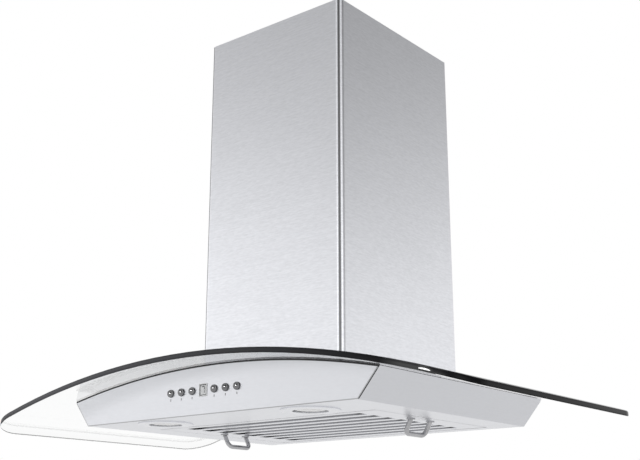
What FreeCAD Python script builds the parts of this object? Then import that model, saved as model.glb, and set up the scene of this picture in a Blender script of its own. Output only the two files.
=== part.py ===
# Wall mount range hood with an arched glass canopy, in millimetres.
# The wall is the plane y = 0, the front faces -Y, and z = 0 is the underside of the body.
import FreeCAD
import Part
import math
import os

V = FreeCAD.Vector

# Shared sizes
sheet = 1.2
overrun = 5
seat_clearance = 0.1

# Glass canopy, an arch about an axis along Y
canopy_width = 900
canopy_overhang = 60
canopy_glass = 8
canopy_front_corner = 62
canopy_rear_corner = 45
canopy_wall_gap = 1
arch_radius = 1430
arch_apex = 71
notch_side_margin = 10
notch_front_margin = 8
notch_corner = 12

# Steel body under the glass
body_bottom_width = 525
body_depth = 430
side_lean_degrees = 40.3
panel_seam = 1.8
side_top_gap = 0.5
flange_width = 16
gasket_height = 2.5
gasket_width = 12
gasket_side_inset = 8
fixing_hole = 6
fixing_spread = 400
fixing_height = 26

# Filter opening in the bottom pan
opening_width = 424
opening_wall_gap = 26
upstand_height = 12

# Baffle filter
filter_side_gap = 1
filter_front_gap = 1.2
filter_rear_gap = 3
filter_sheet = 1
tray_height = 16
slot_end_margin = 8
slot_pitch = 34
slot_handle_gap = 16
slot_width = 20
louvre_rise = 5.5
louvre_gap = 0.4
baffle_gap = 3
baffle_lip = 7
handle_length = 23
handle_lean_degrees = 28
handle_spread = 51
handle_rod = 7
handle_bend = 9
handle_side_margin = 23
handle_foot = 13
handle_foot_height = 1.5
pin_diameter = 5
pin_clearance = 0.06
pin_height = 6
pin_rear_margin = 6
pin_past_flange = 4
catch_spread = 240
catch_width = 22
catch_sheet = 0.5
catch_leg = 7

# Lamps
lamp_spread = 286
lamp_strip = 104
lamp_bezel = 84
lamp_window = 50
bezel_height = 1.8
bezel_round = 0.9
lens_lap = 4.5
lens_height = 3
lens_clearance = 0.2
sleeve_wall = 1.5
sleeve_height = 12
sleeve_clearance = 0.3
lamp_can_gap = 3.6
lamp_can_height = 28

# Buttons, display and control box
controls_offset = -12
controls_drop = 36
button_count = 6
button_pitch = 22
button_diameter = 11
button_proud = 2
button_dome = 3.6
button_travel = 1.5
button_clearance = 0.3
button_rest_gap = 0.2
button_flange_width = 1.5
button_flange_height = 1.5
button_stem = 4
button_stem_length = 4
display_width = 13
display_height = 15.5
display_clearance = 0.2
display_pane = 2
display_frame = 1.4
display_frame_height = 0.8
display_module_margin = 3
control_end_margin = 20
control_height = 36
control_wall = 2
board_thickness = 1.6
board_clearance = 0.5
boss_diameter = 6
boss_height = 6
switch_width = 6
switch_height = 4
switch_plunger = 3
switch_plunger_length = 1

# Blower box on the glass
box_width = 244
box_flange = 14
box_flange_wall_gap = 6
pad_height = 1.5
clamp_screw = 5
clamp_hole = 6
clamp_head = 10
clamp_head_height = 3
clamp_tail = 6
clamp_row_shares = (0.25, 0.75)
spacer_diameter = 16
hang_hole = 9
hang_spread = 180
hang_drop = 30

# Blower scroll, a four-centre volute about an axis along X
scroll_width = 110
scroll_wall = 2
scroll_radius = 78
scroll_step = 15
tongue_gap = 3
scroll_floor_gap = 16
scroll_front_gap = 10
scroll_rear_gap = 14.6
scroll_outlet_lip = 6
duct_height = 40.3
impeller_gap = 8.5
inlet_step = 10
impeller_blades = 28
impeller_end_gap = 7
impeller_disc = 2
impeller_ring = 3
blade_depth = 12
blade_thickness = 1.2
blade_twist_degrees = 30
hub_diameter = 24
hub_length = 30
shaft_diameter = 10
shaft_clearance = 0.06
motor_diameter = 80
motor_hole_gap = 4
motor_wall_gap = 18.8
motor_dome = 6
motor_flange_width = 18
motor_flange_height = 3
motor_screw = 4
motor_screw_head = 7
motor_screw_head_height = 3
motor_screw_count = 4
capacitor_diameter = 34
capacitor_length = 60
capacitor_drop = 95
wiring_box_depth = 18
wiring_box_length = 64
wiring_box_height = 56
wiring_box_round = 2
wiring_box_drop = 36
wiring_box_front_gap = 24

# Duct collar with two damper flaps, and the cable gland beside it
collar_diameter = 150
collar_height = 60
collar_flange_width = 13
flap_height = 26
flap_thickness = 0.8
flap_edge_gap = 1.5
flap_rod = 3
flap_rod_clearance = 0.05
flap_rod_spread = 7
flap_ledge = 4
flap_ledge_height = 2
flap_rest_gap = 0.3
gland_diameter = 20
gland_bore = 8
gland_height = 14
gland_nut = 30
gland_nut_height = 4.7
gland_place_share = 0.36

# Chimney covers
cover_side_gap = 20
cover_front_gap = 48
cover_top = 656
cover_sheet = 1
cover_bend = 10
cover_return = 14
cover_seat_gap = 0.3
cover_slide_gap = 1
upper_cover_drop = 2
bracket_drop = 15
bracket_length = 40
bracket_leg = 30
bracket_sheet = 1.5

# Values worked out from the sizes above
arch_centre = arch_apex - arch_radius
side_lean = math.tan(math.radians(side_lean_degrees))
lean_stretch = math.hypot(1, side_lean)
canopy_depth = body_depth + canopy_overhang
canopy_half = canopy_width / 2
glass_top = canopy_glass
box_floor = glass_top + pad_height
panel_front = -body_depth
panel_back = panel_front + sheet
opening_half = opening_width / 2
opening_rear = -opening_wall_gap
opening_front = panel_front + lamp_strip
tray_half = opening_half - filter_side_gap
tray_front = opening_front + filter_front_gap
tray_rear = opening_rear - filter_rear_gap
tray_middle = (tray_front + tray_rear) / 2
hinge_y = tray_rear - pin_rear_margin
handle_offset = tray_half - handle_side_margin
slot_length = 2 * (handle_offset - slot_handle_gap)
slot_count = int((tray_rear - tray_front - 2 * slot_end_margin) // slot_pitch)
lamp_y = panel_front + lamp_strip / 2
lens_diameter = lamp_window + 2 * lens_lap
sleeve_diameter = lens_diameter + 2 * (lens_clearance + sleeve_wall)
lamp_can = sleeve_diameter + 2 * (lamp_can_gap + sheet)
controls_height = arch_apex - controls_drop
control_width = button_count * button_pitch + 2 * control_end_margin
button_tail = panel_back + button_rest_gap + button_flange_height + button_stem_length
switch_tip = button_tail + button_travel + button_rest_gap
board_front = switch_tip + switch_plunger_length + switch_height
board_back = board_front + board_thickness
control_back = board_back + boss_height + control_wall
scroll_half = scroll_width / 2
box_depth = 2 * (scroll_radius + sheet) + 5 * scroll_step + scroll_front_gap + scroll_rear_gap
box_half = box_width / 2
box_inner_half = box_half - sheet
flange_half = box_half + box_flange
flange_front = -box_depth - box_flange
notch_half = box_half - notch_side_margin
notch_front = notch_front_margin - box_depth
scroll_floor = arch_apex + box_floor + scroll_floor_gap
volute_y = -box_depth + sheet + scroll_front_gap + scroll_radius + scroll_step
volute_z = scroll_floor + scroll_radius + 3 * scroll_step
scroll_top = volute_z + scroll_radius + scroll_outlet_lip
box_ceiling = scroll_top + duct_height
box_top = box_ceiling + sheet
impeller_y = volute_y + scroll_step / 2
impeller_z = volute_z - scroll_step / 2
impeller_diameter = 2 * (scroll_radius - scroll_wall - scroll_step / 2 - impeller_gap)
inlet_diameter = impeller_diameter - 2 * inlet_step
motor_hole = motor_diameter + 2 * motor_hole_gap
motor_flange = motor_diameter + 2 * motor_flange_width
motor_length = box_inner_half - scroll_half - motor_flange_height - motor_wall_gap
collar_y = -box_depth / 2
collar_inner = collar_diameter / 2 - sheet
collar_flange = collar_diameter + 2 * collar_flange_width
flap_z = box_top + flap_height
cover_half = box_half + cover_side_gap
cover_depth = box_depth + cover_front_gap
upper_half = cover_half - cover_sheet - cover_slide_gap
upper_depth = cover_depth - cover_sheet - cover_slide_gap
upper_top = cover_top - upper_cover_drop
upper_bottom = box_top - bracket_drop
sides = {"left": -1, "right": 1}


def block(x0, x1, y0, y1, z0, z1):
    """Block between two corners."""
    return Part.makeBox(x1 - x0, y1 - y0, z1 - z0, V(x0, y0, z0))


def rod(diameter, length, x, y, z, axis):
    """Round bar that starts at a point and runs along an axis."""
    return Part.makeCylinder(diameter / 2, length, V(x, y, z), axis)


def upright(diameter, length, x, y, z):
    """Round bar along +Z."""
    return rod(diameter, length, x, y, z, V(0, 0, 1))


def round_corners(shape, radius, front=-math.inf, rear=math.inf):
    """Round the upright edges of a block that lie between two values of y."""
    edges = [e for e in shape.Edges if abs(e.tangentAt(e.FirstParameter).z) == 1]
    edges = [e for e in edges if front < e.BoundBox.YMin and e.BoundBox.YMax < rear]
    return shape.makeFillet(radius, edges)


def extrude_y(edges, y0, y1):
    """Closed outline in the XZ plane, extruded from y0 to y1."""
    face = Part.Face(Part.Wire(edges))
    face.translate(V(0, y0, 0))
    return face.extrude(V(0, y1 - y0, 0))


def outline(points):
    """Straight edges through a closed row of points."""
    return [Part.makeLine(a, b) for a, b in zip(points, points[1:] + points[:1])]


def spin(points, arcs, axis):
    """Turned solid: an outline in the XY plane, with some edges given as arcs, spun about an axis."""
    edges = []
    for a, b in zip(points, points[1:] + points[:1]):
        middle = arcs.get((points.index(a), points.index(b)))
        edges.append(Part.Arc(a, middle, b).toShape() if middle else Part.makeLine(a, b))
    return Part.Face(Part.Wire(edges)).revolve(V(0, 0, 0), axis, 360)


def arch_point(x, lift):
    """Point of the arch at x, lifted from the underside of the glass along the radius."""
    return V(x, 0, arch_centre + math.sqrt((arch_radius + lift) ** 2 - x ** 2))


def arch_arc(half, lift):
    """Arc of the arch from -half to half."""
    return Part.Arc(arch_point(-half, lift), arch_point(0, lift), arch_point(half, lift)).toShape()


def arch_band(low, high, half, y0, y1):
    """Curved plate between two lifts of the arch."""
    ends = [Part.makeLine(arch_point(x, low), arch_point(x, high)) for x in (-half, half)]
    return extrude_y([arch_arc(half, low), ends[1], arch_arc(half, high), ends[0]], y0, y1)


def below_arch(lift):
    """Everything under the arch at a lift, for cutting pieces that stand on it."""
    floor = arch_point(canopy_half, lift).z - arch_apex
    low = [V(x, 0, floor) for x in (-canopy_half, canopy_half)]
    edges = [Part.makeLine(arch_point(-canopy_half, lift), low[0])]
    edges += [Part.makeLine(low[0], low[1])]
    edges += [Part.makeLine(low[1], arch_point(canopy_half, lift)), arch_arc(canopy_half, lift)]
    return extrude_y(edges, -canopy_depth - overrun, overrun)


def on_arch(shape, x, y):
    """Carry a shape made at the apex along the arch to x, and to y."""
    turned = shape.copy()
    turned.rotate(V(0, 0, arch_centre), V(0, 1, 0), math.degrees(math.asin(x / arch_radius)))
    turned.translate(V(0, y, 0))
    return turned


def side_top(inset, lift):
    """Where the leaning side, moved in by inset, meets the arch."""
    start = body_bottom_width / 2 - inset * lean_stretch
    a = lean_stretch ** 2
    b = start * side_lean - arch_centre
    c = start ** 2 + arch_centre ** 2 - (arch_radius + lift) ** 2
    height = (math.sqrt(b ** 2 - a * c) - b) / a
    return start + side_lean * height, height


def body_prism(inset, floor, lift, y0, y1):
    """Body section: flat floor, leaning sides moved in by inset, arched top."""
    x_top, z_top = side_top(inset, lift)
    x_low = body_bottom_width / 2 - inset * lean_stretch + side_lean * floor
    edges = [Part.makeLine(V(-x_top, 0, z_top), V(-x_low, 0, floor))]
    edges += [Part.makeLine(V(-x_low, 0, floor), V(x_low, 0, floor))]
    edges += [Part.makeLine(V(x_low, 0, floor), V(x_top, 0, z_top)), arch_arc(x_top, lift)]
    return extrude_y(edges, y0, y1)


def clamp_places():
    """Screws through the flange of the blower box: two on each side and two in front."""
    middle = box_half + box_flange / 2
    side_rows = [-box_depth * share for share in clamp_row_shares]
    places = [(side * middle, y) for side in (-1, 1) for y in side_rows]
    return places + [(side * box_half / 2, -box_depth - box_flange / 2) for side in (-1, 1)]


def clamp_bores(diameter):
    """Bores for the clamp screws, through everything that they hold."""
    depth = sheet + gasket_height + box_floor + 2 * sheet + 2 * overrun
    bore = upright(diameter, depth, 0, 0, arch_apex - gasket_height - 2 * sheet - overrun)
    return [on_arch(bore, x, y) for x, y in clamp_places()]


def button_places():
    """X of each button: equal steps on both sides of the display."""
    steps = [i - button_count // 2 for i in range(button_count + 1)]
    return [controls_offset + button_pitch * step for step in steps if step]


# Canopy, seal and steel body
def glass_canopy():
    """Arched pane with rounded corners and a notch at the wall for the air way."""
    pane = arch_band(0, canopy_glass, canopy_half + overrun, -canopy_depth - overrun, overrun)
    plan = block(-canopy_half, canopy_half, -canopy_depth, -canopy_wall_gap, -arch_apex, 2 * arch_apex)
    notch = block(-notch_half, notch_half, notch_front, notch_corner + overrun, -arch_apex, 2 * arch_apex)
    plan = round_corners(plan, canopy_front_corner, rear=-canopy_depth / 2)
    plan = round_corners(plan, canopy_rear_corner, front=-canopy_depth / 2)
    pane = pane.common(plan)
    return pane.cut([round_corners(notch, notch_corner)] + clamp_bores(clamp_hole))


def glass_gasket():
    """Seal between the body's flanges and the glass, level with the front and set back from the sides."""
    inset = sheet + seat_clearance
    front = body_prism(inset, 0, -seat_clearance, panel_front, panel_front + gasket_width)
    runs = body_prism(gasket_side_inset / lean_stretch, 0, -seat_clearance, panel_front, -sheet)
    inner = body_prism(flange_width / lean_stretch, -overrun, overrun, panel_front + gasket_width, overrun)
    return front.fuse(runs).cut([inner, below_arch(-gasket_height)]).removeSplitter()


def front_panel():
    """Flat front with holes for the controls and a flange under the glass."""
    face = body_prism(0, 0, -gasket_height, panel_front, panel_back)
    flange = body_prism(sheet, 0, -gasket_height, panel_back, panel_front + flange_width)
    face = face.fuse(flange.cut(below_arch(-gasket_height - sheet)))
    hole = button_diameter + 2 * button_clearance
    depth = sheet + 2 * overrun
    cuts = [rod(hole, depth, x, panel_front - overrun, controls_height, V(0, 1, 0)) for x in button_places()]
    cuts.append(display_block(display_clearance, panel_front - overrun, panel_back + overrun))
    return face.cut(cuts).removeSplitter()


def display_block(margin, y0, y1):
    """Block of the display's outline, grown by a margin."""
    half, rise = display_width / 2 + margin, display_height / 2 + margin
    return block(controls_offset - half, controls_offset + half, y0, y1,
                 controls_height - rise, controls_height + rise)


def side_panel(side):
    """Leaning side that ends just under the glass, with a lower flange for the seal."""
    front = panel_back + panel_seam
    wall = body_prism(0, 0, -side_top_gap, front, -sheet)
    wall = wall.cut(body_prism(sheet, -overrun, overrun, front - overrun, overrun))
    rim_front = panel_front + flange_width + panel_seam
    rim = body_prism(sheet, 0, -gasket_height, rim_front, -sheet)
    rim = rim.cut([below_arch(-gasket_height - sheet),
                   body_prism(flange_width / lean_stretch, -overrun, overrun, -2 * body_depth, overrun)])
    half = block(0, side * canopy_half, -2 * body_depth, overrun, -overrun, 2 * arch_apex) if side > 0 else \
        block(side * canopy_half, 0, -2 * body_depth, overrun, -overrun, 2 * arch_apex)
    return wall.fuse(rim).common(half).removeSplitter()


def back_panel():
    """Flat back against the wall, with two fixing holes."""
    face = body_prism(0, 0, -gasket_height - sheet, -sheet, 0)
    depth = sheet + 2 * overrun
    return face.cut([rod(fixing_hole, depth, side * fixing_spread / 2, -sheet - overrun, fixing_height,
                         V(0, 1, 0)) for side in sides.values()])


def top_sheet():
    """Curved sheet under the flanges, open where the air goes up."""
    low = -gasket_height - 2 * sheet
    plate = body_prism(sheet, 0, -gasket_height - sheet, panel_back, -sheet).cut(below_arch(low))
    hole = block(-notch_half, notch_half, notch_front, -opening_wall_gap / 2, 0, 2 * arch_apex)
    return plate.cut([round_corners(hole, notch_corner)] + clamp_bores(clamp_hole))


def bottom_pan():
    """Floor with the filter opening, its upstand all round, and the lamp holes."""
    floor = body_prism(sheet, 0, -gasket_height, panel_back, -sheet)
    floor = floor.cut(block(-canopy_half, canopy_half, -2 * body_depth, overrun, sheet, 2 * arch_apex))
    rim = block(-opening_half - sheet, opening_half + sheet, opening_front - sheet, opening_rear + sheet,
                0, upstand_height)
    hole = block(-opening_half, opening_half, opening_front, opening_rear, -overrun, upstand_height + overrun)
    lamp_hole = sleeve_diameter + 2 * sleeve_clearance
    cuts = [hole, hinge_bore()]
    cuts += [upright(lamp_hole, 2 * overrun, side * lamp_spread / 2, lamp_y, -overrun)
             for side in sides.values()]
    return floor.fuse(rim).cut(cuts).removeSplitter()


def hinge_bore():
    """Bore for the filter's pins through both side upstands."""
    length = opening_width + 2 * (sheet + overrun)
    return rod(pin_diameter + 2 * pin_clearance, length, -length / 2, hinge_y, pin_height, V(1, 0, 0))


# Filter
def slot_rows():
    """Y of each slot of the filter, centred in the tray."""
    return [tray_middle + slot_pitch * (i - (slot_count - 1) / 2) for i in range(slot_count)]


def louvre(y):
    """Strip of the tray's floor, cut on three sides and bent up along its front edge."""
    front, rear = y - slot_width / 2, y + slot_width / 2 - louvre_gap
    reach = slot_length / 2 - louvre_gap
    section = [V(-reach, front, 0), V(-reach, rear, louvre_rise), V(-reach, rear, louvre_rise + filter_sheet),
               V(-reach, front, filter_sheet)]
    return Part.Face(Part.Wire(outline(section))).extrude(V(2 * reach, 0, 0))


def filter_tray():
    """Shallow tray whose floor has rows of louvres, open at the rear and at both ends."""
    tray = block(-tray_half, tray_half, tray_front, tray_rear, 0, tray_height)
    inside = block(-tray_half + filter_sheet, tray_half - filter_sheet, tray_front + filter_sheet,
                   tray_rear - filter_sheet, filter_sheet, tray_height + overrun)
    half, reach = slot_width / 2, slot_length / 2
    slots = [block(-reach, reach, y - half, y + half, -overrun, tray_height) for y in slot_rows()]
    return tray.cut([inside] + slots).fuse([louvre(y) for y in slot_rows()]).removeSplitter()


def filter_baffles():
    """Channels over the slots: a full leg close behind each louvre, and a short lip in front of it."""
    reach = tray_half - filter_sheet
    past = reach + overrun
    channels = []
    for y in slot_rows():
        front = y - slot_width / 2 - baffle_gap - filter_sheet
        leg = y + slot_width / 2 + baffle_gap
        channel = block(-reach, reach, front, leg + filter_sheet, filter_sheet, tray_height)
        inside = block(-past, past, front + filter_sheet, leg, 0, tray_height - filter_sheet)
        air_way = block(-past, past, front - overrun, leg, 0, tray_height - baffle_lip)
        channels.append(channel.cut([inside, air_way]))
    return Part.makeCompound(channels)


def filter_handle(side):
    """Bent rod that leans inwards, with two legs that end in round feet on the underside of the tray."""
    x = side * handle_offset
    ends = [tray_middle - handle_spread / 2, tray_middle + handle_spread / 2]
    low, top = -handle_length, handle_rod
    turn = handle_bend * (1 - math.sqrt(0.5))
    path = [Part.makeLine(V(x, ends[0], top), V(x, ends[0], low + handle_bend)),
            Part.Arc(V(x, ends[0], low + handle_bend), V(x, ends[0] + turn, low + turn),
                     V(x, ends[0] + handle_bend, low)).toShape(),
            Part.makeLine(V(x, ends[0] + handle_bend, low), V(x, ends[1] - handle_bend, low)),
            Part.Arc(V(x, ends[1] - handle_bend, low), V(x, ends[1] - turn, low + turn),
                     V(x, ends[1], low + handle_bend)).toShape(),
            Part.makeLine(V(x, ends[1], low + handle_bend), V(x, ends[1], top))]
    section = Part.Wire(Part.makeCircle(handle_rod / 2, V(x, ends[0], top), V(0, 0, 1)))
    bar = Part.Wire(path).makePipeShell([section], True, False)
    bar.rotate(V(x, 0, 0), V(0, 1, 0), side * handle_lean_degrees)
    above = block(x - handle_length, x + handle_length, ends[0] - handle_rod, ends[1] + handle_rod, 0, handle_length)
    feet = [upright(handle_foot, handle_foot_height, x, y, -handle_foot_height) for y in ends]
    return bar.cut(above).fuse(feet)


def filter_hinge_pins():
    """Pins on the sides of the tray, in the upstands of the pan."""
    length = filter_side_gap + sheet + pin_past_flange
    starts = (-tray_half - length, tray_half)
    return Part.makeCompound([rod(pin_diameter, length, x, hinge_y, pin_height, V(1, 0, 0)) for x in starts])


def filter_catches():
    """Spring clips over the front upstand that hold the free edge of the filter."""
    clips = []
    outside = opening_front - sheet
    for side in sides.values():
        x = side * catch_spread / 2
        clip = block(x - catch_width / 2, x + catch_width / 2, outside - catch_sheet,
                     opening_front + catch_sheet, upstand_height - catch_leg, upstand_height + catch_sheet)
        gap = block(x - catch_width, x + catch_width, outside, opening_front, 0, upstand_height)
        clips.append(clip.cut(gap))
    return Part.makeCompound(clips)


# Lamps
def lamp_bezel_ring(side):
    """Flat trim ring with a rounded rim, and a sleeve that passes through the pan."""
    outer, inner = lamp_bezel / 2, lamp_window / 2
    ring = upright(lamp_bezel, bezel_height, 0, 0, -bezel_height)
    rim = [e for e in ring.Edges if e.BoundBox.ZMax < 0 and e.Closed]
    ring = ring.makeFillet(bezel_round, rim)
    sleeve = upright(sleeve_diameter, sleeve_height, 0, 0, 0)
    sleeve = sleeve.cut(upright(sleeve_diameter - 2 * sleeve_wall, sleeve_height, 0, 0, 0))
    shape = ring.fuse(sleeve).cut(upright(2 * inner, 2 * outer, 0, 0, -outer))
    shape.translate(V(side * lamp_spread / 2, lamp_y, 0))
    return shape


def lamp_lens(side):
    """Round frosted lens on the inner rim of the bezel."""
    return upright(lens_diameter, lens_height, side * lamp_spread / 2, lamp_y, 0)


def lamp_housing(side):
    """Can over the lamp, standing on the pan."""
    x = side * lamp_spread / 2
    can = upright(lamp_can, lamp_can_height, x, lamp_y, sheet)
    return can.cut(upright(lamp_can - 2 * sheet, lamp_can_height - sheet, x, lamp_y, sheet))


# Controls
def push_button(x):
    """Domed cap with a retaining flange behind the panel and a stem towards its switch."""
    radius = button_diameter / 2
    shoulder = panel_front - button_proud
    sphere = (radius ** 2 + button_dome ** 2) / (2 * button_dome)
    half_turn = math.asin(radius / sphere) / 2
    middle = V(sphere * math.sin(half_turn), shoulder - button_dome + sphere * (1 - math.cos(half_turn)), 0)
    flange = radius + button_flange_width
    flange_front_y = panel_back + button_rest_gap
    flange_back_y = flange_front_y + button_flange_height
    points = [V(0, shoulder - button_dome, 0), V(radius, shoulder, 0), V(radius, flange_front_y, 0),
              V(flange, flange_front_y, 0), V(flange, flange_back_y, 0), V(button_stem / 2, flange_back_y, 0),
              V(button_stem / 2, button_tail, 0), V(0, button_tail, 0)]
    shape = spin(points, {(0, 1): middle}, V(0, 1, 0))
    shape.translate(V(x, 0, controls_height))
    return shape


def display_bezel():
    """Thin frame round the display on the front of the panel."""
    frame = display_block(display_frame, panel_front - display_frame_height, panel_front)
    return frame.cut(display_block(display_clearance, panel_front - overrun, panel_front + overrun))


def display_window():
    """Pane in the panel, level with its front."""
    return display_block(0, panel_front, panel_front + display_pane)


def display_module():
    """Display body between the board and the pane."""
    return display_block(display_module_margin, max(panel_front + display_pane, panel_back), board_front)


def control_block(shrink, y0, y1):
    """Block of the control box's outline, shrunk all round."""
    half, rise = control_width / 2 - shrink, control_height / 2 - shrink
    return block(controls_offset - half, controls_offset + half, y0, y1,
                 controls_height - rise, controls_height + rise)


def control_housing():
    """Plastic tray behind the panel, with a boss in each corner under the board."""
    tray = control_block(0, panel_back, control_back)
    tray = tray.cut(control_block(control_wall, panel_back - overrun, control_back - control_wall))
    x_reach = control_width / 2 - control_wall - boss_diameter
    z_reach = control_height / 2 - control_wall - boss_diameter
    bosses = [rod(boss_diameter, boss_height + control_wall / 2, controls_offset + x * x_reach, board_back,
                  controls_height + z * z_reach, V(0, 1, 0)) for x in (-1, 1) for z in (-1, 1)]
    return tray.fuse(bosses).removeSplitter()


def control_board():
    """Circuit board on the bosses of the control box."""
    return control_block(control_wall + board_clearance, board_front, board_back)


def control_switches():
    """One switch behind each button, with its plunger clear of the stem by the travel."""
    half = switch_width / 2
    switches = []
    for x in button_places():
        body = block(x - half, x + half, board_front - switch_height, board_front,
                     controls_height - half, controls_height + half)
        length = board_front - switch_tip
        plunger = rod(switch_plunger, length, x, switch_tip, controls_height, V(0, 1, 0))
        switches.append(body.fuse(plunger))
    return Part.makeCompound(switches)


# Blower box and what clamps the glass
def blower_box():
    """Open-bottomed box on the glass, with a flange round its foot and holes for duct, cable and wall."""
    outer = block(-box_half, box_half, -box_depth, 0, 0, box_top)
    inner = block(-box_inner_half, box_inner_half, sheet - box_depth, -sheet, -overrun, box_ceiling)
    flange = block(-flange_half, flange_half, flange_front, -box_flange_wall_gap, 0, box_top)
    foot = flange.cut(inner).common(arch_band(box_floor, box_floor + sheet, canopy_half, -canopy_depth, 0))
    walls = outer.cut([inner, below_arch(box_floor)])
    depth = sheet + 2 * overrun
    holes = [rod(hang_hole, depth, side * hang_spread / 2, -sheet - overrun, box_top - hang_drop, V(0, 1, 0))
             for side in sides.values()]
    holes.append(upright(2 * collar_inner, depth, 0, collar_y, box_ceiling - overrun))
    holes.append(upright(gland_diameter + 2 * seat_clearance, depth, *gland_place(), box_ceiling - overrun))
    return walls.fuse(foot).cut(holes + clamp_bores(clamp_hole)).removeSplitter()


def gland_place():
    """Place of the cable gland, near a front corner of the box's top."""
    return box_width * gland_place_share, -box_depth + box_width * (1 / 2 - gland_place_share)


def box_pad():
    """Rubber pad between the glass and the flange of the blower box."""
    ring = block(-flange_half, flange_half, flange_front, -box_flange_wall_gap, 0, box_top)
    inside = block(-box_inner_half, box_inner_half, sheet - box_depth, overrun, -overrun, box_top + overrun)
    ring = ring.cut(inside)
    pad = ring.common(arch_band(glass_top, box_floor, canopy_half, -canopy_depth, 0))
    return pad.cut(clamp_bores(clamp_hole))


def glass_spacers():
    """Rubber washers round the clamp screws, between the top sheet and the glass."""
    height = gasket_height + sheet - 2 * seat_clearance
    base = arch_apex - gasket_height - sheet + seat_clearance
    washer = upright(spacer_diameter, height, 0, 0, base).cut(upright(clamp_hole, height, 0, 0, base))
    return Part.makeCompound([on_arch(washer, x, y) for x, y in clamp_places()])


def clamp_screws():
    """Pan-head screws down through flange, pad, glass and top sheet."""
    seat = arch_apex + box_floor + sheet
    length = seat - (arch_apex - gasket_height - 2 * sheet - clamp_tail)
    screw = upright(clamp_screw, length, 0, 0, seat - length)
    screw = screw.fuse(upright(clamp_head, clamp_head_height, 0, 0, seat))
    return Part.makeCompound([on_arch(screw, x, y) for x, y in clamp_places()])


# Blower
def volute(shrink, x0, x1, top):
    """Spiral of four quarter arcs with growing radii, running into a straight outlet."""
    y, z, radius = volute_y, volute_z, scroll_radius - shrink
    edges, angle = [], 0
    point = V(x0, y + radius, z)
    start = point
    for quarter in range(4):
        reach = radius + quarter * scroll_step
        turns = [math.radians(angle + part) for part in (45, 90)]
        middle, end = [V(x0, y + reach * math.cos(t), z + reach * math.sin(t)) for t in turns]
        edges.append(Part.Arc(point, middle, end).toShape())
        y -= scroll_step * math.cos(turns[1])
        z -= scroll_step * math.sin(turns[1])
        point = end
        angle += 90
    tongue = volute_y + scroll_radius + tongue_gap + shrink
    low = volute_z - shrink
    rest = [point, V(x0, point.y, top), V(x0, tongue, top), V(x0, tongue, low), V(x0, start.y, low)]
    if shrink:
        rest.append(start)
    edges += [Part.makeLine(a, b) for a, b in zip(rest, rest[1:])]
    return Part.Face(Part.Wire(edges)).extrude(V(x1 - x0, 0, 0))


def blower_scroll():
    """Spiral housing with an inlet on the left and the motor's hole on the right."""
    shell = volute(0, -scroll_half, scroll_half, scroll_top)
    hollow = volute(scroll_wall, scroll_wall - scroll_half, scroll_half - scroll_wall, scroll_top + overrun)
    depth = scroll_wall + 2 * overrun
    inlet = rod(inlet_diameter, depth, -scroll_half - overrun, impeller_y, impeller_z, V(1, 0, 0))
    inner_face = scroll_half - scroll_wall - overrun
    motor_side = rod(motor_hole, depth, inner_face, impeller_y, impeller_z, V(1, 0, 0))
    return shell.cut([hollow, inlet, motor_side] + motor_screw_bores())


def outlet_wire(shrink, z):
    """Rectangle of the scroll's outlet."""
    half = scroll_half - shrink
    y0 = volute_y + scroll_radius + tongue_gap + shrink
    y1 = volute_y + scroll_radius + 4 * scroll_step - shrink
    corners = [V(half, y1, z), V(-half, y1, z), V(-half, y0, z), V(half, y0, z)]
    return Part.Wire(outline(corners))


def round_wire(radius, z):
    """Circle under the collar, split into the four arcs that meet the rectangle's sides."""
    corners = [math.radians(45 + 90 * i) for i in range(5)]
    arcs = []
    for a, b in zip(corners, corners[1:]):
        ends = [V(radius * math.cos(t), collar_y + radius * math.sin(t), z) for t in (a, (a + b) / 2, b)]
        arcs.append(Part.Arc(*ends).toShape())
    return Part.Wire(arcs)


def discharge_duct():
    """Duct from the square outlet of the scroll to the round hole under the collar."""
    outer = Part.makeLoft([outlet_wire(0, scroll_top), round_wire(collar_inner, box_ceiling)], True, True)
    inner = Part.makeLoft([outlet_wire(scroll_wall, scroll_top),
                           round_wire(collar_inner - scroll_wall, box_ceiling)], True, True)
    return outer.cut(inner)


def impeller():
    """Squirrel cage: driven disc, open ring and a row of tilted blades between them."""
    radius = impeller_diameter / 2
    x0 = -scroll_half + scroll_wall + impeller_end_gap
    x1 = scroll_half - scroll_wall - impeller_end_gap
    disc = rod(impeller_diameter, impeller_disc, x1 - impeller_disc, 0, 0, V(1, 0, 0))
    hub = rod(hub_diameter, hub_length, x1 - hub_length, 0, 0, V(1, 0, 0))
    ring = rod(impeller_diameter, impeller_ring, x0, 0, 0, V(1, 0, 0))
    ring = ring.cut(rod(impeller_diameter - 2 * blade_depth, impeller_ring, x0, 0, 0, V(1, 0, 0)))
    root = radius - blade_depth
    blade = block(x0, x1, -blade_thickness / 2, blade_thickness / 2, root, radius - blade_thickness)
    blade.rotate(V(0, 0, root), V(1, 0, 0), blade_twist_degrees)
    blades = []
    for i in range(impeller_blades):
        turned = blade.copy()
        turned.rotate(V(0, 0, 0), V(1, 0, 0), 360 * i / impeller_blades)
        blades.append(turned)
    bore = rod(shaft_diameter, scroll_width, -scroll_half, 0, 0, V(1, 0, 0))
    cage = disc.fuse([hub, ring] + blades).cut(bore).removeSplitter()
    cage.translate(V(0, impeller_y, impeller_z))
    return cage


def motor_shaft():
    """Shaft from inside the motor through the hub of the impeller."""
    x0 = scroll_half - scroll_wall - impeller_end_gap - hub_length
    x1 = scroll_half + motor_flange_height + motor_length / 2
    return rod(shaft_diameter, x1 - x0, x0, impeller_y, impeller_z, V(1, 0, 0))


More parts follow.
